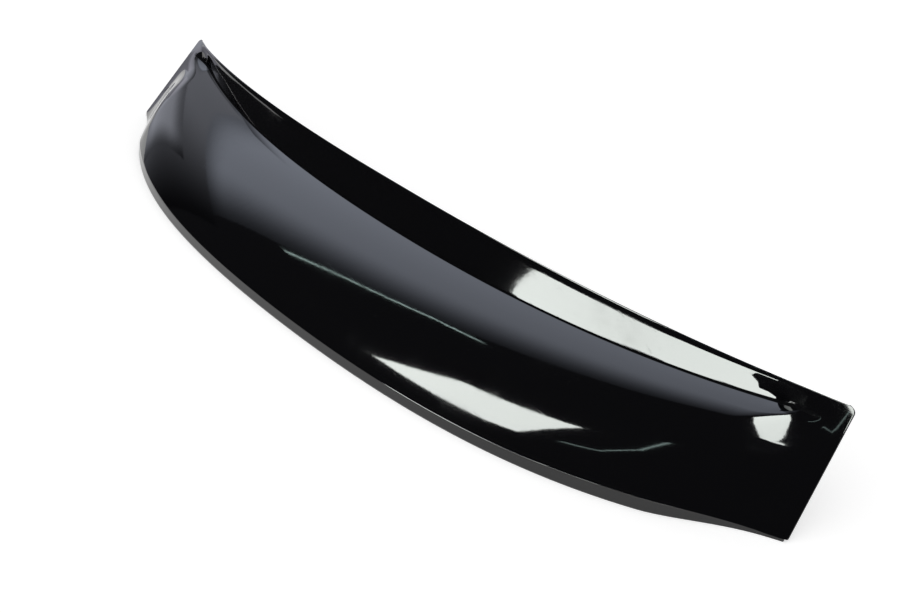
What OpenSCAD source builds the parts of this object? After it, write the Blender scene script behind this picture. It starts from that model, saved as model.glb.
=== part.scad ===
// Tailgate spoiler: one thin moulded shell, open underneath.
// It is modelled as it rests, on the flat rim of its trailing lip with the front edge raised.
// X runs along the part, Y from the trailing lip towards the front edge, Z up.
// On the vehicle the front edge and the two flat end flanges are bonded to the tailgate.

/* [Overall size] */
// Length from rear tip to rear tip, before the tips are rounded
rear_length = 1204; // [1000:2:1430]
// How much further out each rear tip lies than the front corner before it
end_splay = 13; // [0:0.5:30]
// Thickness of the moulded sheet
wall = 3.2; // [2:0.1:5]

/* [Front edge] */
// How far the middle of the front edge lies behind its corners
front_setback = 79.4; // [50:0.1:90]
// How far the front edge comes forward from its middle to its ends
front_sweep = 72.4; // [50:0.1:88]
// How late the front edge bends: 0 is a plain arc, 1 is straight in the middle
front_lateness = 0.246; // [0:0.001:1]
// Height of the front edge at the middle
front_height = 116; // [106:1:130]
// How much the front edge falls from its middle to its ends
front_fall = 13.8; // [5:0.1:20]
// Length of the turned-over margin along the front edge
margin_length = 6; // [3:0.5:9]
// Angle through which that margin turns over
margin_turn = 25; // [0:1:40]

/* [Fold between the front wall and the top] */
// How far the middle of the fold lies behind the front corners
fold_setback = 98.7; // [92:0.1:110]
// How far the fold comes forward from its middle to its ends
fold_sweep = 100.8; // [90:0.1:104]
// How late the fold bends
fold_lateness = 0.388; // [0:0.001:1]
// Height of the fold at the middle
fold_height = 70.3; // [60:0.1:80]
// How much the fold climbs from its middle to its ends
fold_climb = 12.2; // [8:0.1:18]
// Radius inside the fold
fold_radius = 12; // [4:0.5:20]

/* [Top and trailing lip] */
// How far the middle of the rear rim lies behind the front corners
rear_setback = 253; // [225:0.5:300]
// How far the rear rim comes forward from its middle to its ends
rear_sweep = 155.4; // [145:0.1:170]
// How late the rear rim bends
rear_lateness = 0.53; // [0:0.01:1]
// How far the top stands above a straight line, at the middle
crown_middle = 13; // [0:0.5:18]
// How far the top stands above a straight line, towards the ends
crown_end = 21; // [0:0.5:24]
// How late the crown changes towards the ends
crown_lateness = 0.42; // [0:0.01:1]
// Height of the trailing lip's upright face
lip_height = 11.4; // [6:0.1:18]
// Lean of the lip's face away from upright
lip_lean = 15; // [0:1:20]

/* [End flanges] */
// Height of the front corners
corner_height = 101.2; // [95:0.1:108]
// Slope of the flat end flange down towards the rear
flange_slope = 45.8; // [42:0.1:48]
// Tilt of the flat end flange along the part
flange_tilt = 17.4; // [10:0.1:22]
// Width of the flat end flange at its front end
flange_front_width = 15; // [8:1:30]
// Width of the flat end flange at its rear end
flange_rear_width = 3; // [2:0.5:15]
// Run of the rounded end wall between the top and the flange, at its front end
nose_front_run = 53; // [30:1:80]
// Run of that end wall at its rear end
nose_rear_run = 115; // [60:1:140]
// Height of the edge where the flange reaches the rear tip
tip_height = 2.8; // [2:0.1:6]
// Radius of the front corners
front_corner_radius = 6; // [2:0.5:15]
// Radius of the rear tips
rear_corner_radius = 3; // [1:0.5:8]

/* [Hidden] */

middle_steps = 20; // stations in each half, up to where the nose begins
nose_steps = 20; // stations in each half across the nose
flange_steps = 5; // stations in each half across the flat flange
nose_start = 0.78; // share of the half length where the nose's closer stations begin
flange_start = 0.97; // share of the half length where the flange's stations begin
margin_steps = 3;
wall_steps = 4;
fold_steps = 5;
top_steps = 12;
rim_steps = 3; // steps round the thickness of the sheet
edge_bulge = 0.5; // how far the free edges round out, as a share of half the wall
lip_lateness = 21; // power that keeps the lip's height even until it nears the tips

function unit(v) = v / norm(v);
function mix(a, b, share) = a * (1 - share) + b * share;
function ease(share) = let(c = max(0, min(1, share))) c * c * (3 - 2 * c);
function along(angle) = [cos(angle), sin(angle)];
function slope_of(v) = atan2(v[1], v[0]);

// Share of a sweep that is reached at station t, from 0 at the middle to 1 at the end
function sweep(t, lateness) = (1 - lateness) * t ^ 2 + lateness * t ^ 4;

// Four guide curves, each a point [y, z] of the section at station t
function front_edge(t) =
    [front_sweep * sweep(t, front_lateness) - front_setback, front_height - front_fall * t ^ 2];
function fold_line(t) =
    [fold_sweep * sweep(t, fold_lateness) - fold_setback, fold_height + fold_climb * t ^ 2];
function rear_rim(t) = [rear_sweep * sweep(t, rear_lateness) - rear_setback, 0];
function lip_at(t) = tip_height + (lip_height - tip_height) * (1 - t ^ lip_lateness);
function lip_crease(t) = rear_rim(t) + lip_at(t) * [tan(lip_lean), 1];

// Quadratic curve through the turned-over margin, from the front edge to the flat of the wall
function margin_curve(edge, knee, foot) =
    [for (k = [0 : margin_steps - 1]) let(u = k / margin_steps)
        edge * (1 - u) ^ 2 + 2 * knee * u * (1 - u) + foot * u ^ 2];

// Parabola of the crowned top, and its direction, at share u from the fold to the crease
function crowned(fold, crease, rise, u) =
    let(chord = crease - fold, up = unit([chord[1], -chord[0]]))
    fold + chord * u + 4 * rise * u * (1 - u) * up;
function crowned_way(fold, crease, rise, u) =
    let(chord = crease - fold, up = unit([chord[1], -chord[0]]))
    unit(chord + 4 * rise * (1 - 2 * u) * up);

// Smooth curve from a to b that leaves along way_a and arrives along way_b
function bridge(a, way_a, b, way_b, reach, u) =
    a * (2 * u ^ 3 - 3 * u ^ 2 + 1) + way_a * reach * (u ^ 3 - 2 * u ^ 2 + u)
    + b * (3 * u ^ 2 - 2 * u ^ 3) + way_b * reach * (u ^ 3 - u ^ 2);

// The open section at station t, from the front edge to the lip's crease
function body_section(t) =
    let(
        edge = front_edge(t),
        fold = fold_line(t),
        crease = lip_crease(t),
        straight = edge - fold,
        lift = margin_turn / 2 * margin_length / (norm(straight) - margin_length),
        wall_slope = slope_of(straight) + lift,
        knee = edge - along(wall_slope - margin_turn) * margin_length / 2,
        foot = knee - along(wall_slope) * margin_length / 2,
        wall_way = unit(fold - foot),
        rise = mix(crown_middle, crown_end, sweep(t, crown_lateness)),
        turn = acos(wall_way * crowned_way(fold, crease, rise, 0)),
        reach = min(fold_radius * tan(turn / 2), 0.45 * norm(fold - foot)),
        wall_end = fold - wall_way * reach,
        top_share = reach / norm(crease - fold),
        top_start = crowned(fold, crease, rise, top_share),
        top_way = crowned_way(fold, crease, rise, top_share)
    )
    concat(
        margin_curve(edge, knee, foot),
        [for (k = [0 : wall_steps - 1]) mix(foot, wall_end, k / wall_steps)],
        [for (k = [0 : fold_steps - 1])
            bridge(wall_end, wall_way, top_start, top_way, 2 * reach, k / fold_steps)],
        [for (k = [0 : top_steps])
            crowned(fold, crease, rise, mix(top_share, 1, k / top_steps))]
    );

// Distance run along a section at each of its points
function run_along(points, k = 0, run = 0, found = []) =
    k == len(points) ? found :
    let(next = k == 0 ? 0 : run + norm(points[k] - points[k - 1]))
    run_along(points, k + 1, next, concat(found, [next]));

// How far a corner of radius r pulls the end in, at distance d from that corner's side
function corner_inset(r, d) = let(c = max(0, min(r, d))) r - sqrt(r ^ 2 - (r - c) ^ 2);

// Length of the front edge from corner to corner, before the corners are rounded
front_length = rear_length - 2 * end_splay;

// The plane of the end flange: directions down its slope and out of it, how far the end spreads
// for each unit down the slope, and how far the plane has risen at a place on it
slope_down = [-cos(flange_slope), -sin(flange_slope)];
slope_out = [-sin(flange_slope), cos(flange_slope)];
front_corner = [0, corner_height];
flange_spread = end_splay * sin(flange_slope) / (corner_height - tip_height);
function flange_rise(down, x) = tan(flange_tilt) * (front_length / 2 + flange_spread * down - x);

// One station of the outer skin: the section, pressed flat into the end flange near the tips
function station(side, t) =
    let(
        section = body_section(t),
        run = run_along(section),
        total = run[len(run) - 1],
        foot = rear_rim(t),
        body = concat(section, [foot]),
        last = len(section),
        share = [for (k = [0 : last]) k < last ? run[k] / total : 1],
        half = [for (s = share) mix(front_length, rear_length, s) / 2],
        x = [for (k = [0 : last]) let(d = k < last ? run[k] : total)
            t * (half[k] - corner_inset(front_corner_radius, d)
                - corner_inset(rear_corner_radius, total - d))],
        gap = half - x,
        start = (section[0] - front_corner) * slope_down,
        end = (corner_height - tip_height + flange_rise(0, x[last]) * slope_out[1])
            / (sin(flange_slope) - tan(flange_tilt) * flange_spread * slope_out[1]),
        flat = [for (k = [0 : last]) let(down = mix(start, end, share[k]))
            front_corner + down * slope_down + flange_rise(down, x[k]) * slope_out],
        flange = [for (k = [0 : last])
            k < last ? flat[k] : [flat[k][0] - tip_height * tan(lip_lean), 0]]
    )
    [for (k = [0 : last])
        let(
            width = mix(flange_front_width, flange_rear_width, share[k]),
            nose = mix(nose_front_run, nose_rear_run, share[k]),
            yz = mix(body[k], flange[k], ease(1 - (gap[k] - width) / nose))
        )
        [side * x[k], yz[0], k == last ? 0 : yz[1]]];

half_stations = concat(
    [for (k = [0 : middle_steps - 1]) nose_start * k / middle_steps],
    [for (k = [0 : nose_steps - 1]) mix(nose_start, flange_start, k / nose_steps)],
    [for (k = [0 : flange_steps]) mix(flange_start, 1, k / flange_steps)]
);
half_count = len(half_stations);
outer = concat(
    [for (k = [half_count - 1 : -1 : 1]) station(-1, half_stations[k])],
    [for (t = half_stations) station(1, t)]
);
columns = len(outer);
rows = len(outer[0]);

// Direction along a line of points at its middle one, stretched so that an offset keeps its
// distance from both stretches where the line bends
function bisector(a, b, c) =
    a == b ? unit(c - b) : b == c ? unit(b - a) :
    let(both = unit(b - a) + unit(c - b)) both * 2 / (both * both);
function way_along(i, j) =
    bisector(outer[max(i - 1, 0)][j], outer[i][j], outer[min(i + 1, columns - 1)][j]);
function way_down(i, j) =
    bisector(outer[i][max(j - 1, 0)], outer[i][j], outer[i][min(j + 1, rows - 1)]);

// The inner skin lies one wall thickness inside, and its lowest row stays on the floor
function inner_point(i, j) =
    let(
        a = way_along(i, j),
        d = way_down(i, j),
        inward = unit(cross(a, d)) * wall * norm(a) * norm(d),
        level = [inward[0], inward[1], 0]
    )
    j < rows - 1 ? outer[i][j] + inward : outer[i][j] + unit(level) * wall ^ 2 / norm(level);
inner = [for (i = [0 : columns - 1]) [for (j = [0 : rows - 1]) inner_point(i, j)]];

// The edge of the sheet as one loop of [station, row, way out of the sheet]
edge_loop = concat(
    [for (i = [0 : columns - 2]) [i, 0, i == 0 ? -way_along(0, 0) - way_down(0, 0) : -way_down(i, 0)]],
    [for (j = [0 : rows - 2])
        [columns - 1, j, way_along(columns - 1, j) - (j == 0 ? way_down(columns - 1, 0) : [0, 0, 0])]],
    [for (i = [columns - 1 : -1 : 1]) [i, rows - 1, [0, 0, 0]]],
    [for (j = [rows - 1 : -1 : 1]) [0, j, j == rows - 1 ? [0, 0, 0] : -way_along(0, j)]]
);
loop_count = len(edge_loop);
function edge_point(place, step) =
    let(
        a = outer[place[0]][place[1]],
        b = inner[place[0]][place[1]],
        angle = 180 * step / rim_steps,
        out = norm(place[2]) == 0 ? place[2] : unit(place[2])
    )
    (a + b) / 2 + (a - b) / 2 * cos(angle) + out * sin(angle) * edge_bulge * wall / 2;
edge_rings = [for (step = [1 : rim_steps - 1]) [for (place = edge_loop) edge_point(place, step)]];

skin_points = columns * rows;
function outer_index(i, j) = i * rows + j;
function inner_index(i, j) = skin_points + i * rows + j;
function ring_index(step, k) =
    let(place = edge_loop[k % loop_count])
    step == 0 ? outer_index(place[0], place[1]) :
    step == rim_steps ? inner_index(place[0], place[1]) :
    2 * skin_points + (step - 1) * loop_count + k % loop_count;
function both_halves(a, b, c, d) = [[a, b, c], [a, c, d]];

function flatten(lists) = [for (list = lists) for (item = list) item];
shell_points = concat(flatten(outer), flatten(inner), flatten(edge_rings));
shell_faces = flatten(concat(
    [for (i = [0 : columns - 2], j = [0 : rows - 2])
        both_halves(outer_index(i, j), outer_index(i, j + 1),
            outer_index(i + 1, j + 1), outer_index(i + 1, j))],
    [for (i = [0 : columns - 2], j = [0 : rows - 2])
        both_halves(inner_index(i, j), inner_index(i + 1, j),
            inner_index(i + 1, j + 1), inner_index(i, j + 1))],
    [for (step = [0 : rim_steps - 1], k = [0 : loop_count - 1])
        both_halves(ring_index(step, k), ring_index(step, k + 1),
            ring_index(step + 1, k + 1), ring_index(step + 1, k))]
));

// The origin is under the middle of the part's box
shell_y = [for (p = shell_points) p[1]];
middle_y = (max(shell_y) + min(shell_y)) / 2;

// The whole spoiler: the outer skin, the inner skin and the edge of the sheet as one closed surface
module spoiler_shell() {
    color("#101114")
        translate([0, -middle_y, 0])
            polyhedron(points = shell_points, faces = shell_faces, convexity = 6);
}

spoiler_shell();
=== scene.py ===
"""Looks of the tailgate spoiler: a glossy black moulded shell on a pale studio floor.

Laid out as a Blender add-on and run as a script. Sizes are in metres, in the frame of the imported
model: X along the part, Y from the trailing lip towards the front edge, Z up from the floor.
"""

import math

import bpy
import numpy as np
from bpy.props import FloatProperty, FloatVectorProperty, IntProperty, PointerProperty
from mathutils import Matrix, Vector


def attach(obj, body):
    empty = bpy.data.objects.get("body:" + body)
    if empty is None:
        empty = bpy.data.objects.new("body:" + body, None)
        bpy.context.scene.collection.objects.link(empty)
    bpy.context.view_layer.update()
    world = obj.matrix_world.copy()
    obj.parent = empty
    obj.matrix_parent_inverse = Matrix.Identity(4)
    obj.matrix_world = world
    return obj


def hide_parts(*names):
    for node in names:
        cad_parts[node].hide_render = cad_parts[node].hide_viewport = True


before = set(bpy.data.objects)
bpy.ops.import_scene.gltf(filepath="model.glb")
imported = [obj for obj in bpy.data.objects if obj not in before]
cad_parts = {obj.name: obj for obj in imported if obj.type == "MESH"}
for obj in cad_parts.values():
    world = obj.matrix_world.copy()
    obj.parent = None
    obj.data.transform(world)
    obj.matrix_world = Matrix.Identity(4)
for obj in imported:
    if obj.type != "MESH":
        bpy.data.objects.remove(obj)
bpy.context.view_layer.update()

bl_info = {
    "name": "Tailgate spoiler",
    "version": (1, 0, 0),
    "blender": (4, 5, 0),
    "location": "View3D > Sidebar > Spoiler",
    "description": "Builds a moulded tailgate spoiler with its paint, floor, lights and camera",
    "category": "Object",
}

SHELL_NODE = "spoiler_shell"
PICTURE_WIDTH = 920
SENSOR_WIDTH = 36.0

# mesh rows over the rounded front corners, and points along the parts of a section
CORNER_ROWS = 6
MARGIN_POINTS, FOLD_POINTS, TOP_POINTS = 24, 60, 160
# where the noses and the flanges start, as shares of the half length
NOSE_START, FLANGE_START = 0.78, 0.97
# width of the last column at each tip, and the rows over the rear tips as shares of their radius
TIP_COLUMN = 0.0006
TIP_ROWS = (1.0, 0.72, 0.5)

# colours and strengths of the lights, the ways they fade along, and the walls of the room
BAND_TINT, PALE_TINT, COOL = (0.79, 0.85, 1.0), (0.87, 0.87, 1.0), (0.85, 0.88, 1.0)
GREEN, TEAL = (0.95, 1.0, 0.96), (0.75, 1.0, 0.95)
LAMP_POWER, BAND_POWER = 16.0, 1.7
ALONG_X, ALONG_Y, ALONG_Z = (1.0, 0.0, 0.0), (0.0, 1.0, 0.0), (0.0, 0.0, 1.0)
FROM_EDGE = (-0.43, 0.9, 0.0)
WEST, EAST, SOUTH, NORTH, TOP = -4.3, 3.2, -3.6, 4.2, 3.0


def length(name, description, default, lowest=0.0):
    """A length property in metres."""
    return FloatProperty(name=name, description=description, default=default, min=lowest,
                         precision=4, unit="LENGTH", subtype="DISTANCE")


def angle(name, description, degrees):
    """An angle property, given in degrees."""
    return FloatProperty(name=name, description=description, default=math.radians(degrees),
                         unit="ROTATION", subtype="ANGLE")


def count(name, description, default, lowest):
    """A whole number of rows, columns or steps."""
    return IntProperty(name=name, description=description, default=default, min=lowest)


def share(name, description, default, highest=1.0):
    """A plain number from nothing to highest."""
    return FloatProperty(name=name, description=description, default=default, min=0.0, max=highest)


def colour(name, description, default):
    """A linear colour property."""
    return FloatVectorProperty(name=name, description=description, default=default, size=3,
                               min=0.0, max=1.0, subtype="COLOR")


class SpoilerShape(bpy.types.PropertyGroup):
    """Sizes of the shell, as in the part's source, with a crisper fold and a finer mesh"""

    front_length: length("Front length", "Length of the front edge from corner to corner", 1.178)
    rear_length: length("Rear length", "Length of the rear rim from tip to tip", 1.204)
    wall: length("Wall", "Thickness of the moulded sheet", 0.0032)
    front_setback: length("Front setback",
                          "How far the middle of the front edge lies behind its corners", 0.0794)
    front_sweep: length("Front sweep",
                        "How far the front edge comes forward towards its ends", 0.0724)
    front_lateness: share("Front lateness", "How late the front edge bends", 0.246)
    front_height: length("Front height", "Height of the front edge at the middle", 0.116)
    front_fall: length("Front fall", "How much the front edge falls towards its ends", 0.0138)
    margin_length: length("Margin length", "Length of the turned-over front margin", 0.006)
    margin_turn: angle("Margin turn", "Angle through which the front margin turns over", 25.0)
    fold_setback: length("Fold setback",
                         "How far the middle of the fold lies behind the front corners", 0.0987)
    fold_sweep: length("Fold sweep", "How far the fold comes forward towards its ends", 0.1008)
    fold_lateness: share("Fold lateness", "How late the fold bends", 0.388)
    fold_height: length("Fold height", "Height of the fold at the middle", 0.0703)
    fold_climb: length("Fold climb", "How much the fold climbs towards its ends", 0.0122)
    fold_radius: length("Fold radius", "Radius inside the fold", 0.0025)
    rear_setback: length("Rear setback",
                         "How far the middle of the rim lies behind the front corners", 0.253)
    rear_sweep: length("Rear sweep", "How far the rim comes forward towards its ends", 0.1554)
    rear_lateness: share("Rear lateness", "How late the rim bends", 0.53)
    crown_middle: length("Crown at the middle",
                         "Height of the top over a straight line, at the middle", 0.013)
    crown_end: length("Crown at the ends",
                      "Height of the top over a straight line, towards the ends", 0.021)
    crown_lateness: share("Crown lateness", "How late the crown changes towards the ends", 0.42)
    lip_height: length("Lip height", "Height of the trailing lip's upright face", 0.0114)
    lip_lean: angle("Lip lean", "Lean of the lip's face away from upright", 15.0)
    corner_height: length("Corner height", "Height of the front corners", 0.1012)
    flange_slope: angle("Flange slope", "Slope of the end flange down towards the rear", 45.8)
    flange_tilt: angle("Flange tilt", "Tilt of the end flange along the part", 17.4)
    flange_front_width: length("Flange front width",
                               "Width of the flat end flange at its front", 0.015)
    flange_rear_width: length("Flange rear width",
                              "Width of the flat end flange at its rear", 0.003)
    nose_front_run: length("Nose front run",
                           "Run of the rounded end wall above the flange, at its front", 0.053)
    nose_rear_run: length("Nose rear run",
                          "Run of the rounded end wall above the flange, at its rear", 0.115)
    tip_height: length("Tip height", "Height of the edge at the rear tip", 0.0028)
    front_corner_radius: length("Front corner radius", "Radius of the front corners", 0.006)
    rear_corner_radius: length("Rear corner radius", "Radius of the rear tips", 0.003)
    lip_lateness: FloatProperty(name="Lip lateness", default=21.0, min=1.0,
                                description="Power that keeps the lip even until it nears the tips")
    crease_radius: length("Crease radius", "Size of the rounding along the lip's crease", 0.0014)
    edge_bulge: share("Edge bulge",
                      "How far free edges round out, as a share of half the wall", 0.5)
    middle_columns: count("Middle columns", "Mesh columns in each half before the nose", 84, 8)
    nose_columns: count("Nose columns", "Mesh columns in each half across the rounded nose", 34, 4)
    flange_columns: count("Flange columns",
                          "Mesh columns in each half across the end flange", 12, 3)
    wall_rows: count("Wall rows", "Mesh rows down the front wall", 14, 2)
    fold_rows: count("Fold rows", "Mesh rows round the fold", 14, 3)
    top_rows: count("Top rows", "Mesh rows down the top", 40, 4)
    lip_rows: count("Lip rows", "Mesh rows down the lip", 6, 1)
    edge_steps: count("Edge steps", "Mesh steps round the sheet's edge", 8, 3)


class SpoilerPaint(bpy.types.PropertyGroup):
    """Colours and detail of the shell's finishes"""

    black: colour("Black", "Colour of the gloss outside", (0.0035, 0.0035, 0.0042))
    dust: colour("Dust", "Colour of the dust specks", (0.30, 0.30, 0.29))
    underside: colour("Underside", "Colour of the plain moulded underside", (0.016, 0.016, 0.017))
    gloss_roughness: share("Gloss roughness", "Roughness of the clean gloss outside", 0.045)
    haze_roughness: share("Haze roughness", "Roughness where the gloss has been handled", 0.11)
    underside_roughness: share("Underside roughness", "Roughness of the moulded underside", 0.42)
    peel_depth: length("Peel depth", "Depth of the soft ripple in the gloss", 0.000012)
    peel_size: length("Peel size", "Size of the soft ripple in the gloss", 0.007)
    grain_size: length("Grain size", "Size of the underside's moulded grain", 0.0012)
    speck_spacing: length("Speck spacing", "Spacing of the dust specks", 0.016)


class SpoilerStage(bpy.types.PropertyGroup):
    """The floor, the lights and the camera"""

    floor_size: length("Floor size", "Side of the square floor", 14.0)
    floor_colour: colour("Floor colour", "Colour of the floor and the backdrop", (0.80, 0.80, 0.80))
    floor_glow: share("Floor glow", "White that is seen on the floor besides its light", 0.5)
    soft_light: share("Soft light",
                      "Level of the soft light that comes from all round", 0.7, highest=2.0)
    room: colour("Room", "Colour of the dark flags that the gloss reflects", (0.02, 0.02, 0.022))
    ceiling: length("Ceiling", "Height of the lights above the floor", 2.5)
    camera_place: FloatVectorProperty(name="Camera place", description="Where the camera stands",
                                      size=3, default=(1.1234, -0.7811, 0.8126), unit="LENGTH",
                                      subtype="XYZ")
    camera_fall: angle("Camera fall", "How far the camera looks down", 31.71)
    camera_turn: angle("Camera turn", "Direction of the camera round the part", 50.53)
    camera_roll: angle("Camera roll", "Roll of the camera about its view", 0.763)
    camera_reach: FloatProperty(name="Camera reach", default=1346.6, min=1.0,
                                description="Focal length in pixels of the picture's width")


# Shape of the shell


def ease(values):
    """Smooth step from 0 to 1."""
    clipped = np.clip(values, 0.0, 1.0)
    return clipped * clipped * (3.0 - 2.0 * clipped)


def along(direction):
    """Unit vector [y, z] of a direction given as an angle."""
    return np.array([math.cos(direction), math.sin(direction)])


def unit(vector):
    """The vector with length one."""
    return vector / np.linalg.norm(vector)


def sweep(t, lateness):
    """Share of a sweep reached at station t, from 0 at the middle to 1 at the end."""
    return (1.0 - lateness) * t ** 2 + lateness * t ** 4


def bridge(start, start_way, end, end_way, reach, u):
    """Smooth curve that leaves start along one way and arrives at end along another."""
    return (start * (2 * u ** 3 - 3 * u ** 2 + 1) + start_way * reach * (u ** 3 - 2 * u ** 2 + u)
            + end * (3 * u ** 2 - 2 * u ** 3) + end_way * reach * (u ** 3 - u ** 2))


def body_section(s, t):
    """Dense points of the section at station t down to the lip's crease, the distances where the
    wall and the fold end, and the foot of the lip."""
    front = np.array([s.front_sweep * sweep(t, s.front_lateness) - s.front_setback,
                      s.front_height - s.front_fall * t * t])
    fold = np.array([s.fold_sweep * sweep(t, s.fold_lateness) - s.fold_setback,
                     s.fold_height + s.fold_climb * t * t])
    foot = np.array([s.rear_sweep * sweep(t, s.rear_lateness) - s.rear_setback, 0.0])
    lip = s.tip_height + (s.lip_height - s.tip_height) * (1.0 - t ** s.lip_lateness)
    crease = foot + lip * np.array([math.tan(s.lip_lean), 1.0])

    straight = front - fold
    lift = s.margin_turn / 2 * s.margin_length / (np.linalg.norm(straight) - s.margin_length)
    wall_slope = math.atan2(straight[1], straight[0]) + lift
    knee = front - along(wall_slope - s.margin_turn) * s.margin_length / 2
    margin_end = knee - along(wall_slope) * s.margin_length / 2
    wall_way = unit(fold - margin_end)

    rise = s.crown_middle + (s.crown_end - s.crown_middle) * sweep(t, s.crown_lateness)
    chord = crease - fold
    up = unit(np.array([chord[1], -chord[0]]))

    def crowned(u):
        return fold + chord * u + 4 * rise * u * (1 - u) * up

    def crowned_way(u):
        return unit(chord + 4 * rise * (1 - 2 * u) * up)

    turn = math.acos(max(-1.0, min(1.0, float(wall_way @ crowned_way(0)))))
    longest = 0.45 * np.linalg.norm(fold - margin_end)
    reach = min(s.fold_radius * math.tan(turn / 2), longest)
    wall_end = fold - wall_way * reach
    first = reach / np.linalg.norm(chord)
    top_start, top_way = crowned(first), crowned_way(first)

    u = (np.arange(MARGIN_POINTS) / MARGIN_POINTS)[:, None]
    margin = front * (1 - u) ** 2 + 2 * knee * u * (1 - u) + margin_end * u ** 2
    v = (np.arange(FOLD_POINTS) / FOLD_POINTS)[:, None]
    folded = bridge(wall_end, wall_way, top_start, top_way, 2 * reach, v)
    top = crowned(first + (1 - first) * (np.arange(TOP_POINTS + 1) / TOP_POINTS)[:, None])
    points = np.vstack([margin, margin_end[None, :], folded, top])
    run = np.concatenate([[0.0], np.cumsum(np.linalg.norm(np.diff(points, axis=0), axis=1))])
    return points, run, run[len(margin) + 1], run[len(margin) + 1 + len(folded)], foot, lip


def corner_inset(radius, distance):
    """How far a rounded corner pulls the end in, at a distance from that corner's side."""
    c = np.clip(distance, 0.0, radius)
    return radius - np.sqrt(np.maximum(radius ** 2 - (radius - c) ** 2, 0.0))


def station(s, side, t):
    """One column of the outside, from the front edge to the foot of the lip. Near the tips it is
    pressed into the flat plane of the end flange."""
    points, run, wall_run, fold_run, foot, lip = body_section(s, t)
    total = run[-1]
    arc = 1.0 - np.cos(np.linspace(0.0, math.pi / 2, CORNER_ROWS + 1))
    near = arc * s.front_corner_radius
    least_row = 0.0005
    wall_run = max(wall_run, near[-1] + least_row)
    widest_share = 0.35
    rounding = min(s.crease_radius, widest_share * lip)
    rear = total - np.array([s.rear_corner_radius * row for row in TIP_ROWS] + [rounding])
    distances = np.concatenate([
        near[:-1],
        near[-1] + (wall_run - near[-1]) * np.arange(s.wall_rows) / s.wall_rows,
        wall_run + (fold_run - wall_run) * np.arange(s.fold_rows) / s.fold_rows,
        fold_run + (rear[0] - fold_run) * np.arange(s.top_rows) / s.top_rows,
        rear, [total]])
    y = np.interp(distances, run, points[:, 0])
    z = np.interp(distances, run, points[:, 1])
    down = np.concatenate([[rounding / lip], np.linspace(rounding / lip, 1.0, s.lip_rows + 1)[1:]])
    crease = points[-1]
    lip_points = crease + (foot - crease) * down[:, None]
    body = np.vstack([np.column_stack([y, z]), lip_points])

    part = np.concatenate([distances / total, np.ones(len(down))])
    distance = np.concatenate([distances, np.full(len(down), total)])
    half = (s.front_length * (1 - part) + s.rear_length * part) / 2
    x = t * (half - corner_inset(s.front_corner_radius, distance)
             - corner_inset(s.rear_corner_radius, total - distance))

    slope_down = -along(s.flange_slope)
    slope_out = np.array([-math.sin(s.flange_slope), math.cos(s.flange_slope)])
    corner = np.array([0.0, s.corner_height])
    flange_length = (s.corner_height - s.tip_height) / math.sin(s.flange_slope)
    spread = (s.rear_length - s.front_length) / 2 / flange_length
    tilt = math.tan(s.flange_tilt)

    def lift(run_down, across):
        return tilt * (s.front_length / 2 + spread * run_down - across)

    start = float((body[0] - corner) @ slope_down)
    # the flange ends where its plane comes down to the tip height
    end = ((s.corner_height - s.tip_height + tilt * (s.front_length / 2 - x[-1]) * slope_out[1])
           / (math.sin(s.flange_slope) - tilt * spread * slope_out[1]))
    run_down = start * (1 - part) + end * part
    flat = corner + run_down[:, None] * slope_down + lift(run_down, x)[:, None] * slope_out
    flat_foot = np.array([flat[-1][0] - s.tip_height * math.tan(s.lip_lean), 0.0])
    lip_start = len(distances)
    flat[lip_start:] = flat[lip_start - 1] + (flat_foot - flat[lip_start - 1]) * down[:, None]

    gap = half - x
    width = s.flange_front_width * (1 - part) + s.flange_rear_width * part
    nose = s.nose_front_run * (1 - part) + s.nose_rear_run * part
    press = ease(1 - (gap - width) / nose)[:, None]
    placed = body * (1 - press) + flat * press
    placed[-1, 1] = 0.0
    return np.column_stack([side * x, placed]), lip_start - 1


def stations(s):
    """Station values from one tip to the other, closer across the noses and the flanges."""
    tip = TIP_COLUMN / (s.rear_length / 2)
    half = np.concatenate([
        np.linspace(0, NOSE_START, s.middle_columns + 1)[:-1],
        np.linspace(NOSE_START, FLANGE_START, s.nose_columns + 1)[:-1],
        np.linspace(FLANGE_START, 1 - tip, s.flange_columns + 1), [1.0]])
    return np.concatenate([-half[:0:-1], half])


def bisectors(grid, axis):
    """Direction along the grid at each point, stretched so that an offset keeps its distance."""
    steps = np.diff(grid, axis=axis)
    sizes = np.linalg.norm(steps, axis=2, keepdims=True)
    ways = steps / np.maximum(sizes, 1e-12)
    first, last = ((ways[:1], ways[-1:]) if axis == 0 else (ways[:, :1], ways[:, -1:]))
    before = np.concatenate([first, ways], axis=axis)
    after = np.concatenate([ways, last], axis=axis)
    both = before + after
    return both * 2 / np.sum(both * both, axis=2, keepdims=True)


def inward_offset(grid, wall):
    """The inside of the sheet: one wall inside the grid, its lowest row still on the floor."""
    ways_along, ways_down = bisectors(grid, 0), bisectors(grid, 1)
    normal = np.cross(ways_along, ways_down)
    normal /= np.linalg.norm(normal, axis=2, keepdims=True)
    inward = normal * wall
    for ways in (ways_along, ways_down):
        inward = inward * np.linalg.norm(ways, axis=2, keepdims=True)
    inner = grid + inward
    level = inward[:, -1] * np.array([1.0, 1.0, 0.0])
    size = np.linalg.norm(level, axis=1, keepdims=True)
    inner[:, -1] = grid[:, -1] + level / size * wall ** 2 / size
    return inner


def rounded_crease(grid, crease_row, steps=5):
    """The grid with its sharp crease row replaced by rows that round it."""
    before, corner, after = (grid[:, crease_row + k] for k in (-1, 0, 1))
    rows = []
    for u in np.arange(1, steps) / steps:
        rows.append(before * (1 - u) ** 2 + 2 * corner * u * (1 - u) + after * u ** 2)
    rounded = np.stack(rows, axis=1)
    return np.concatenate([grid[:, :crease_row], rounded, grid[:, crease_row + 1:]], axis=1)


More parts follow.
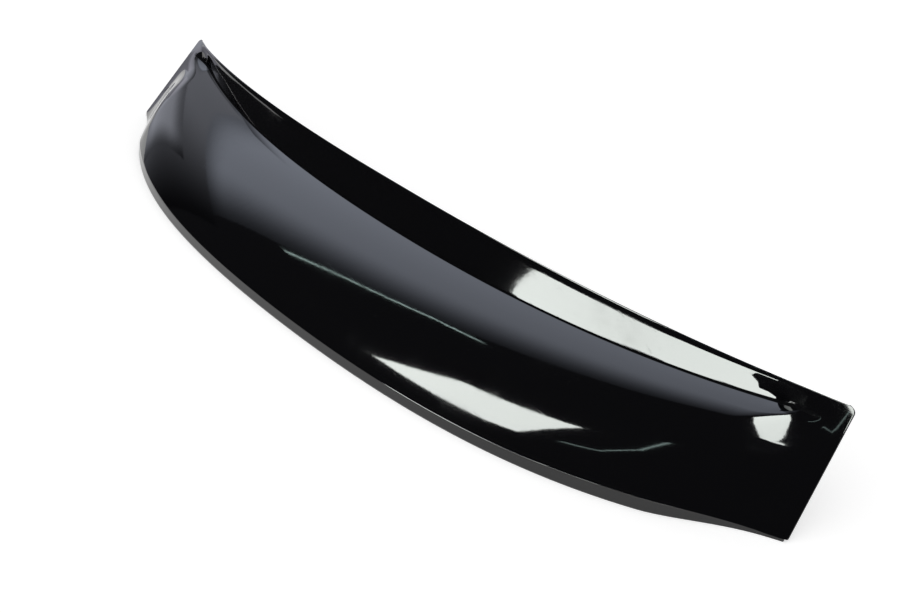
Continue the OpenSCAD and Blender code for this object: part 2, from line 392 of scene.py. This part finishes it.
def painted_fold_shade(s, columns, rows):
    """Share of painted shade at each point of the outside, which darkens the fold: all of it in the
    fold, none elsewhere, and fading out where the fold runs into the noses."""
    weight = np.zeros((columns, rows))
    first, fading = CORNER_ROWS + s.wall_rows, 0.02
    weight[:, first + 1:first + s.fold_rows] = 1.0
    return weight * ease((FLANGE_START - np.abs(stations(s))) / fading)[:, None]


def shell_mesh(s, name):
    """The whole shell as one closed mesh: outside, inside and the rounded edge of the sheet."""
    lines, crease_row = [], 0
    for t in stations(s):
        points, crease_row = station(s, -1.0 if t < 0 else 1.0, abs(t))
        lines.append(points)
    sharp = np.array(lines)
    outer = rounded_crease(sharp, crease_row)
    inner = rounded_crease(inward_offset(sharp, s.wall), crease_row)
    out_along = rounded_crease(bisectors(sharp, 0), crease_row)
    out_down = rounded_crease(bisectors(sharp, 1), crease_row)
    columns, rows = outer.shape[:2]

    loop = ([(i, 0) for i in range(columns - 1)] + [(columns - 1, j) for j in range(rows - 1)]
            + [(i, rows - 1) for i in range(columns - 1, 0, -1)]
            + [(0, j) for j in range(rows - 1, 0, -1)])
    i, j = np.array(loop).T
    way = np.zeros((len(loop), 3))
    way -= out_down[i, j] * (j == 0)[:, None]
    way -= out_along[i, j] * ((i == 0) & (j < rows - 1))[:, None]
    way += out_along[i, j] * ((i == columns - 1) & (j < rows - 1))[:, None]
    size = np.linalg.norm(way, axis=1, keepdims=True)
    way = np.where(size > 1e-9, way / np.maximum(size, 1e-9), 0.0)
    top, under = outer[i, j], inner[i, j]
    rings = []
    for step in range(1, s.edge_steps):
        turn = math.pi * step / s.edge_steps
        rings.append((top + under) / 2 + (top - under) / 2 * math.cos(turn)
                     + way * math.sin(turn) * s.edge_bulge * s.wall / 2)

    skin = columns * rows
    vertices = np.vstack([outer.reshape(-1, 3), inner.reshape(-1, 3)] + rings)
    around = len(loop)

    def at(i, j):
        return i * rows + j

    grid_i, grid_j = np.meshgrid(np.arange(columns - 1), np.arange(rows - 1), indexing="ij")
    grid_i, grid_j = grid_i.ravel(), grid_j.ravel()
    outside = np.column_stack([at(grid_i, grid_j), at(grid_i, grid_j + 1),
                               at(grid_i + 1, grid_j + 1), at(grid_i + 1, grid_j)])
    inside = outside[:, ::-1] + skin
    k = np.arange(around)
    between = [2 * skin + step * around + k for step in range(s.edge_steps - 1)]
    ring_rows = [at(i, j), *between, skin + at(i, j)]
    edges = [np.column_stack([upper, np.roll(upper, -1), np.roll(lower, -1), lower])
             for upper, lower in zip(ring_rows, ring_rows[1:])]
    faces = np.vstack([outside, inside] + edges)

    vertices[:, 1] -= (vertices[:, 1].max() + vertices[:, 1].min()) / 2
    mesh = bpy.data.meshes.new(name)
    mesh.from_pydata(vertices.tolist(), [], faces.tolist())
    mesh.update()
    # painted shade: per-point weight of the darkened fold, which the gloss material reads
    corner = np.zeros(len(vertices), dtype=np.float32)
    corner[:skin] = painted_fold_shade(s, columns, rows).ravel()
    mesh.attributes.new("painted_fold_shade", "FLOAT", "POINT").data.foreach_set("value", corner)
    skins, glossy_edge = len(outside) + len(inside), around * (s.edge_steps - 2)
    painted = np.ones(len(faces), dtype=np.int32)
    painted[:len(outside)] = 0
    painted[skins:skins + glossy_edge] = 0
    mesh.polygons.foreach_set("material_index", painted)
    mesh.polygons.foreach_set("use_smooth", np.ones(len(faces), dtype=bool))
    mesh.validate()
    return mesh


# Shader building


class Wire:
    """A socket that Python's operators work on; each one adds a Math node."""

    def __init__(self, finish, socket):
        self.finish, self.socket = finish, socket

    def math(self, operation, *others):
        """A Math node of this wire and other values or wires."""
        return self.finish.add("ShaderNodeMath", {"operation": operation}, [self, *others])

    def __add__(self, other):
        return self.math("ADD", other)

    __radd__ = __add__

    def __sub__(self, other):
        return self.math("SUBTRACT", other)

    def __mul__(self, other):
        return self.math("MULTIPLY", other)

    __rmul__ = __mul__

    def larger(self, other):
        """The larger of two values."""
        return self.math("MAXIMUM", other)

    def band(self, low, high):
        """0 below low and 1 above high, smooth between; low may lie above high."""
        settings = {"interpolation_type": "SMOOTHSTEP"}
        return self.finish.add("ShaderNodeMapRange", settings, [self, low, high, 0.0, 1.0])


class Finish:
    """One node material or world while it is being built."""

    def __init__(self, owner):
        owner.use_nodes = True
        self.tree = owner.node_tree
        self.tree.nodes.clear()

    def add(self, kind, settings=None, sockets=None, output=0):
        """Adds a node: its settings first, then the values or wires of its sockets, given in order
        or by name."""
        node = self.tree.nodes.new(kind)
        for name, value in (settings or {}).items():
            setattr(node, name, value)
        named = sockets.items() if isinstance(sockets, dict) else enumerate(sockets or [])
        for key, value in named:
            socket = node.inputs[key]
            if isinstance(value, Wire):
                self.tree.links.new(value.socket, socket)
            else:
                socket.default_value = value
        return Wire(self, node.outputs[output]) if len(node.outputs) else node

    def blend(self, amount, first, second):
        """A Mix node of two colours."""
        sockets = {0: amount, 6: first, 7: second}
        return self.add("ShaderNodeMix", {"data_type": "RGBA"}, sockets, output=2)

    def noise(self, place, scale, detail=2.0, rough=0.5):
        """The value of a Noise texture."""
        return self.add("ShaderNodeTexNoise", {}, {
            "Vector": place, "Scale": scale, "Detail": detail, "Roughness": rough})

    def streaks(self, place, stretch, turn=0.0, detail=2.0, rough=0.6):
        """A Noise texture drawn out along lines, turned about the upright."""
        drawn = self.add("ShaderNodeMapping", {}, {
            "Vector": place, "Rotation": (0.0, 0.0, turn), "Scale": stretch})
        return self.noise(drawn, 1.0, detail, rough)

    def spots(self, place, scale):
        """Distance from the nearest of scattered points."""
        return self.add("ShaderNodeTexVoronoi", {"feature": "F1"}, {
            "Vector": place, "Scale": scale, "Randomness": 1.0})

    def shown(self):
        """1 for what the camera, the gloss or glass sees, and 0 for light on its way."""
        path, camera_ray, glossy_ray, passing_ray = "ShaderNodeLightPath", 0, 3, 6
        seen = self.add(path, output=camera_ray)
        for ray in (glossy_ray, passing_ray):
            seen = seen.larger(self.add(path, output=ray))
        return seen


def rgba(values):
    """A colour with full opacity."""
    return (*values, 1.0)


def gloss_material(paint):
    """Gloss black lacquer: a soft ripple, a little handling haze, hairlines and dust specks, with
    painted shade darkening the fold.
    """
    material = bpy.data.materials.new("gloss_black_lacquer")
    finish = Finish(material)
    place = finish.add("ShaderNodeTexCoord", output=3)
    normal = finish.add("ShaderNodeNewGeometry", output=1)
    upward = finish.add("ShaderNodeSeparateXYZ", {}, [normal], output=2)

    ripple = finish.noise(place, 1.0 / paint.peel_size, 3.0, 0.55)
    slow = finish.noise(place, 0.22 / paint.peel_size, 1.0, 0.5)
    height = ripple + slow * 1.5

    lines = finish.streaks(place, (9.0, 900.0, 160.0), 0.35).band(0.66, 0.74)
    lines = lines.larger(finish.streaks(place, (14.0, 1100.0, 200.0), -0.9).band(0.69, 0.76))
    patches = finish.noise(place, 9.0, 2.0, 0.5).band(0.48, 0.62)
    hairlines = lines * patches

    sizes = finish.noise(place, 0.5 / paint.speck_spacing, 0.0).band(0.45, 0.75)
    specks = finish.spots(place, 1.0 / paint.speck_spacing).band(0.012 + 0.02 * sizes, 0.004)
    specks = specks * upward.band(0.1, 0.6)
    fine = finish.spots(place, 5.5 / paint.speck_spacing).band(0.05, 0.02)
    specks = specks.larger(0.45 * fine * upward.band(0.3, 0.8) * patches)

    smudge = finish.noise(place, 5.0, 4.0, 0.6).band(0.52, 0.78)
    smudge = smudge * finish.noise(place, 38.0, 3.0, 0.6).band(0.3, 0.75)
    haze = paint.haze_roughness - paint.gloss_roughness
    rough = paint.gloss_roughness + haze * smudge + 0.03 * hairlines + 0.25 * specks
    tone = finish.blend(specks * 0.6, rgba(paint.black), rgba(paint.dust))
    bump = finish.add("ShaderNodeBump", {}, {
        "Strength": 1.0, "Distance": paint.peel_depth, "Height": height - 0.3 * hairlines})
    surface = finish.add("ShaderNodeBsdfPrincipled", {}, {
        "Base Color": tone, "Roughness": rough, "Normal": bump, "IOR": 1.54})
    # painted shade: a dull, nearly unreflecting black mixed in over the fold, darkening it as shade
    # would
    corner = finish.add("ShaderNodeAttribute", {"attribute_name": "painted_fold_shade"}, output=2)
    fold_shade_bsdf = finish.add("ShaderNodeBsdfPrincipled", {}, {
        "Base Color": rgba(paint.black), "Roughness": 0.5 + 0.2 * slow, "Normal": bump,
        "IOR": 1.06})
    surface = finish.add("ShaderNodeMixShader", {}, [corner, surface, fold_shade_bsdf])
    finish.add("ShaderNodeOutputMaterial", {}, {"Surface": surface})
    return material


def underside_material(paint):
    """Bare moulded plastic: fine grain, faint flow marks and a dusting."""
    material = bpy.data.materials.new("moulded_underside")
    finish = Finish(material)
    place = finish.add("ShaderNodeTexCoord", output=3)
    grain = finish.noise(place, 1.0 / paint.grain_size, 3.0, 0.65)
    flow = finish.streaks(place, (2.5, 30.0, 30.0), 0.0, 3.0, 0.5)
    worn = finish.noise(place, 14.0, 4.0, 0.6).band(0.45, 0.7)
    paler = rgba([value * 2.2 for value in paint.underside])
    tone = finish.blend(0.35 * worn + 0.25 * flow, rgba(paint.underside), paler)
    rough = paint.underside_roughness + 0.16 * grain - 0.08 * flow
    grain_depth = 0.00006
    bump = finish.add("ShaderNodeBump", {}, {
        "Strength": 1.0, "Distance": grain_depth, "Height": grain + 0.4 * flow})
    surface = finish.add("ShaderNodeBsdfPrincipled", {}, {
        "Base Color": tone, "Roughness": rough, "Normal": bump})
    finish.add("ShaderNodeOutputMaterial", {}, {"Surface": surface})
    return material


# Stage


def stage_object(name, mesh):
    """Links a stage object, which isn't part of the spoiler."""
    thing = bpy.data.objects.new(name, mesh)
    bpy.context.scene.collection.objects.link(thing)
    return thing


def glow_material(name, strength, tint, fades, one_sided=False):
    """A light-giving material for a card. Each fade is [way, start, end, least]: along the way the
    light grows from its least share at the start to all of it at the end. A one-sided card can't be
    seen from its back."""
    material = bpy.data.materials.new(name)
    finish = Finish(material)
    glow = finish.add("ShaderNodeEmission", {}, {"Color": rgba(tint), "Strength": strength})
    if fades:
        place = finish.add("ShaderNodeTexCoord", output=3)
        amount = 1.0
        for way, start, end, least in fades:
            run = finish.add("ShaderNodeVectorMath", {"operation": "DOT_PRODUCT"}, [place, way],
                             output=1)
            amount = (least + (1.0 - least) * run.band(start, end)) * amount
        dark = finish.add("ShaderNodeEmission", {}, {"Color": rgba(tint), "Strength": 0.0})
        glow = finish.add("ShaderNodeMixShader", {}, [amount, dark, glow])
    if one_sided:
        back = finish.add("ShaderNodeNewGeometry", output=6)
        clear = finish.add("ShaderNodeBsdfTransparent")
        glow = finish.add("ShaderNodeMixShader", {}, [back, glow, clear])
    finish.add("ShaderNodeOutputMaterial", {}, {"Surface": glow})
    return material


def card(name, corners, strength, tint=(1.0, 1.0, 1.0), fades=(), one_sided=False, faces=None):
    """A flat light or flag with the given corners that only the gloss reflects; with faces, a card
    that bends."""
    mesh = bpy.data.meshes.new(name)
    mesh.from_pydata([tuple(map(float, corner)) for corner in corners], [],
                     faces or [tuple(range(len(corners)))])
    mesh.materials.append(glow_material(name, strength, tint, fades, one_sided))
    thing = stage_object(name, mesh)
    thing.visible_camera = thing.visible_diffuse = thing.visible_shadow = False


def flag(name, stage, corners, one_sided=False):
    """A dark card."""
    card(name, corners, 1.0, tuple(stage.room), one_sided=one_sided)


def level(z, places):
    """Corners at one height, from their [x, y] places."""
    return [(x, y, z) for x, y in places]


def across(x, places):
    """Corners on an upright plane across the part's length, from their [y, z] places."""
    return [(x, y, z) for y, z in places]


def beside(y, places):
    """Corners on an upright plane along the part's length, from their [x, z] places."""
    return [(x, y, z) for x, z in places]


def oblong(low, high):
    """The four places of a rectangle between its lowest and highest ones."""
    return [low, (high[0], low[1]), high, (low[0], high[1])]


def ribbon(z, width, places):
    """Corners of a thin level ribbon of light at a height, along a line of [x, y] places."""
    line = np.array(places)
    ways = np.gradient(line, axis=0)
    sizes = np.linalg.norm(ways, axis=1)[:, None]
    out = np.column_stack([-ways[:, 1], ways[:, 0]]) * width / 2 / sizes
    return level(z, np.vstack([line + out, (line - out)[::-1]]))


def hang_screens(stage):
    """The wide soft screens: the band along the top and the pale gloss of the left end."""
    band = [(WEST, -1.07), (-0.9, 0.57), (-0.3, 1.03), (-0.3, NORTH), (WEST, NORTH)]
    card("soft_screen", level(stage.ceiling, band), BAND_POWER, BAND_TINT,
         [(FROM_EDGE, 0.84, 1.85, 0.08), (ALONG_X, WEST - 0.1, -3.8, 0.35)])
    card("west_screen", across(WEST, oblong((-1.3, 0.0), (NORTH, 2.5))), 0.8, COOL,
         [(ALONG_Y, -1.3, 0.9, 0.0)])
    card("north_screen", beside(NORTH, oblong((WEST, 0.0), (EAST, 2.0))), 1.2, COOL)
    card("west_lamp", across(WEST + 0.05, oblong((-0.45, 0.0), (1.3, 1.9))), 1.35, COOL,
         [(ALONG_Y, -0.45, -0.1, 0.18), (ALONG_Y, 1.3, 0.6, 0.6),
          (ALONG_Z, 1.9, 1.35, 0.35), (ALONG_Z, 0.0, 0.45, 0.6)])


def light_left_end(stage):
    """The low flag that darkens the front wall, and the card that the left flange reflects."""
    shade = [(-0.66, 0.078), (-0.7, 0.08), (-0.8, 0.0), (-0.87, -0.05), (-1.1, -0.17),
             (-1.5, -0.45), (-2.1, -0.88), (-4.3, -2.2), (-4.3, -3.0), (-1.2, -1.4), (-0.66, -0.3)]
    flag("wall_flag", stage, level(0.03, shade), one_sided=True)
    pale = [(0.03, 0.002), (0.08, 0.002), (0.105, 0.03), (0.112, 0.07), (0.118, 0.09),
            (0.12, 0.155), (0.05, 0.155), (0.05, 0.06), (0.03, 0.03)]
    card("end_card", across(-0.76, pale), 1.4, PALE_TINT, [(ALONG_Z, 0.08, 0.118, 0.38)])


def hang_lamps(stage):
    """The lamps of the bright patch on the top and of the bright strip on the front wall."""
    patch = [(-2.15, -1.64), (-1.38, -1.13), (-0.46, -1.2), (-0.74, -2.0), (-1.06, -1.97)]
    card("front_lamp", level(stage.ceiling, patch), LAMP_POWER, GREEN)
    upper = [(-1.33, 0.0), (-1.33, 0.26), (-1.27, 0.32), (-1.2, 0.36), (-1.03, 0.35),
             (-0.88, 0.335), (-0.72, 0.305), (-0.57, 0.255), (-0.42, 0.185), (-0.28, 0.1),
             (-0.1, 0.02), (0.53, 0.0)]
    card("south_lamp", beside(-2.5, upper), LAMP_POWER, GREEN)
    lower = [(0.55, -0.05), (0.522, -0.045), (0.512, -0.06), (0.505, -0.1), (0.49, -0.125),
             (0.47, -0.15), (0.42, -0.2), (0.36, -0.38), (0.26, -0.69), (0.05, -1.35),
             (-0.35, -2.5), (0.55, -2.5)]
    card("low_lamp", level(0.004, lower), LAMP_POWER, GREEN)


def light_right_end(stage):
    """Small lamps and flags over the right end, where the strip runs out above a small patch."""
    points = [(0.44, 0.05), (0.49, 0.05), (0.499, 0.066), (0.503, 0.08), (0.512, 0.086),
              (0.519, 0.094), (0.519, 0.1), (0.511, 0.0975), (0.484, 0.089), (0.44, 0.077)]
    card("fold_lamp", level(0.0805, points), LAMP_POWER, GREEN, one_sided=True)
    bite = [(0.491, -0.03), (0.53, -0.03), (0.53, 0.085), (0.512, 0.084), (0.504, 0.078),
            (0.4985, 0.064), (0.491, 0.05)]
    flag("fold_flag", stage, level(0.0803, bite), one_sided=True)
    patch = [(0.465, 0.118), (0.5, 0.085), (0.54, 0.055), (0.605, 0.011), (0.622, 0.002),
             (0.635, -0.014), (0.655, -0.021), (0.675, -0.018), (0.69, 0.0), (0.48, 0.16)]
    card("end_lamp", level(0.25, patch), LAMP_POWER, GREEN)
    flag("end_flag", stage, beside(0.05, oblong((0.5175, 0.06), (0.6, 0.108))))


def hang_ribbons(stage):
    """Ribbons of light, which the gloss shows as fine lines."""
    left = [(-2.96, -0.53), (-2.45, -0.2), (-2.08, -0.01), (-1.87, 0.09), (-1.58, 0.12)]
    right = [(-0.4, -1.89), (-0.07, -1.88), (0.085, -1.49), (0.03, -0.95)]
    end = [(0.577, 0.0466), (0.5885, 0.0453), (0.5975, 0.046), (0.5983, 0.0531), (0.5972, 0.0684),
           (0.5963, 0.079)]
    card("left_ribbon", ribbon(stage.ceiling, 0.02, left), 8.0, TEAL)
    card("right_ribbon", ribbon(stage.ceiling, 0.022, right), 5.0, TEAL)
    card("end_ribbon", ribbon(0.15, 0.0014, end), 2.2, TEAL)


def hang_flags(stage):
    """Dark flags all round and overhead, which keep the white background out of the gloss."""
    west, north = WEST - 0.3, NORTH + 0.3
    for name, x in (("west_flag", west), ("east_flag", EAST)):
        flag(name, stage, across(x, oblong((SOUTH, 0.0), (north, TOP))))
    for name, y in (("south_flag", SOUTH), ("north_flag", north)):
        flag(name, stage, beside(y, oblong((west, 0.0), (EAST, TOP))))
    flag("top_flag", stage, level(TOP, oblong((west, SOUTH), (EAST, north))))


def hang_wall_glow(shape):
    """A one-sided strip of light before the front wall, which only the top beside it reflects."""
    first, last, steps = -0.64, 0.885, 60
    past_fold, over_fold, before_edge, over_edge = 0.0012, 0.0006, 0.0025, 0.012
    middle = (shape.front_sweep - shape.front_setback - shape.rear_setback) / 2
    corners = []
    for t in np.linspace(first, last, steps + 1):
        points, run, _, fold_run, _, _ = body_section(shape, abs(t))
        low_y, low_z = (np.interp(fold_run + past_fold, run, points[:, k]) for k in (0, 1))
        high_y, high_z = points[0]
        x = t * shape.front_length / 2
        corners += [(x, low_y - middle, low_z + over_fold),
                    (x, high_y - before_edge - middle, high_z + over_edge)]
    faces = [(2 * k, 2 * k + 2, 2 * k + 3, 2 * k + 1) for k in range(steps)]
    card("wall_glow", corners, BAND_POWER, BAND_TINT, [(ALONG_X, -0.39, -0.24, 0.2)],
         one_sided=True, faces=faces)


def floor_material(stage):
    """Pale matt floor that the camera and the gloss see as white, with the part's shadow kept."""
    material = bpy.data.materials.new("studio_floor")
    finish = Finish(material)
    matt = finish.add("ShaderNodeBsdfDiffuse", {}, {"Color": rgba(stage.floor_colour)})
    glow = finish.add("ShaderNodeEmission", {}, {"Strength": finish.shown() * stage.floor_glow})
    both = finish.add("ShaderNodeAddShader", {}, [matt, glow])
    finish.add("ShaderNodeOutputMaterial", {}, {"Surface": both})
    return material


def room_world(stage):
    """Soft light from all round, in front of a white background."""
    world = bpy.data.worlds.new("studio_room")
    finish = Finish(world)
    soft, white = (
        finish.add("ShaderNodeBackground", {},
                   {"Color": (1.0, 1.0, 1.0, 1.0), "Strength": strength})
        for strength in (stage.soft_light, 1.0))
    mixed = finish.add("ShaderNodeMixShader", {}, [finish.shown(), soft, white])
    finish.add("ShaderNodeOutputWorld", {}, {"Surface": mixed})
    bpy.context.scene.world = world


def camera_axes(stage):
    """Right, up and backward of the camera."""
    fall, turn, roll = stage.camera_fall, stage.camera_turn, stage.camera_roll
    back = Vector((math.sin(turn) * math.cos(fall), -math.cos(turn) * math.cos(fall),
                   math.sin(fall)))
    right = (-back).cross(Vector((0.0, 0.0, 1.0))).normalized()
    down = (-back).cross(right)
    return (math.cos(roll) * right - math.sin(roll) * down,
            -(math.sin(roll) * right + math.cos(roll) * down), back)


class SPOILER_OT_shell(bpy.types.Operator):
    """Build the moulded shell with its gloss outside and plain underside"""

    bl_idname = "spoiler.shell"
    bl_label = "Spoiler shell"

    def execute(self, context):
        scene = context.scene
        mesh = shell_mesh(scene.spoiler_shape, "spoiler_shell_skin")
        mesh.materials.append(gloss_material(scene.spoiler_paint))
        mesh.materials.append(underside_material(scene.spoiler_paint))
        piece = bpy.data.objects.new("spoiler_shell_moulding", mesh)
        scene.collection.objects.link(piece)
        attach(piece, "root")
        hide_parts(SHELL_NODE)
        return {"FINISHED"}


class SPOILER_OT_stage(bpy.types.Operator):
    """Lay the floor, hang the lights, paint the room and set the camera"""

    bl_idname = "spoiler.stage"
    bl_label = "Stage"

    def execute(self, context):
        scene = context.scene
        stage = scene.spoiler_stage
        half = stage.floor_size / 2
        mesh = bpy.data.meshes.new("floor")
        mesh.from_pydata(level(0, oblong((-half, -half), (half, half))), [], [(0, 1, 2, 3)])
        mesh.materials.append(floor_material(stage))
        stage_object("floor", mesh)

        for hang in (hang_screens, light_left_end, hang_lamps, light_right_end, hang_ribbons,
                     hang_flags):
            hang(stage)
        hang_wall_glow(scene.spoiler_shape)
        room_world(stage)
        eye = bpy.data.cameras.new("camera")
        eye.sensor_fit, eye.sensor_width = "HORIZONTAL", SENSOR_WIDTH
        eye.lens = stage.camera_reach * SENSOR_WIDTH / PICTURE_WIDTH
        eye.clip_start, eye.clip_end = 0.01, 100.0
        right, up, back = camera_axes(stage)
        thing = bpy.data.objects.new("camera", eye)
        turned = Matrix((right, up, back)).transposed().to_4x4()
        thing.matrix_world = Matrix.Translation(stage.camera_place) @ turned
        scene.collection.objects.link(thing)
        scene.camera = thing
        scene.view_settings.view_transform = "Standard"
        return {"FINISHED"}


class SPOILER_PT_panel(bpy.types.Panel):
    """Lists the steps that build the spoiler and its stage"""

    bl_idname = "SPOILER_PT_panel"
    bl_label = "Tailgate spoiler"
    bl_space_type = "VIEW_3D"
    bl_region_type = "UI"
    bl_category = "Spoiler"

    def draw(self, context):
        layout = self.layout
        for operator in (SPOILER_OT_shell, SPOILER_OT_stage):
            layout.operator(operator.bl_idname)


CLASSES = (SpoilerShape, SpoilerPaint, SpoilerStage, SPOILER_OT_shell, SPOILER_OT_stage,
           SPOILER_PT_panel)


def register():
    """Registers the classes and hangs the settings on the scene."""
    for entry in CLASSES:
        bpy.utils.register_class(entry)
    bpy.types.Scene.spoiler_shape = PointerProperty(type=SpoilerShape)
    bpy.types.Scene.spoiler_paint = PointerProperty(type=SpoilerPaint)
    bpy.types.Scene.spoiler_stage = PointerProperty(type=SpoilerStage)


def unregister():
    """Takes the settings and the classes away again."""
    del bpy.types.Scene.spoiler_shape, bpy.types.Scene.spoiler_paint, bpy.types.Scene.spoiler_stage
    for entry in reversed(CLASSES):
        bpy.utils.unregister_class(entry)


def main():
    """Builds everything in order."""
    register()
    bpy.ops.spoiler.shell()
    bpy.ops.spoiler.stage()


if __name__ == "__main__":
    main()
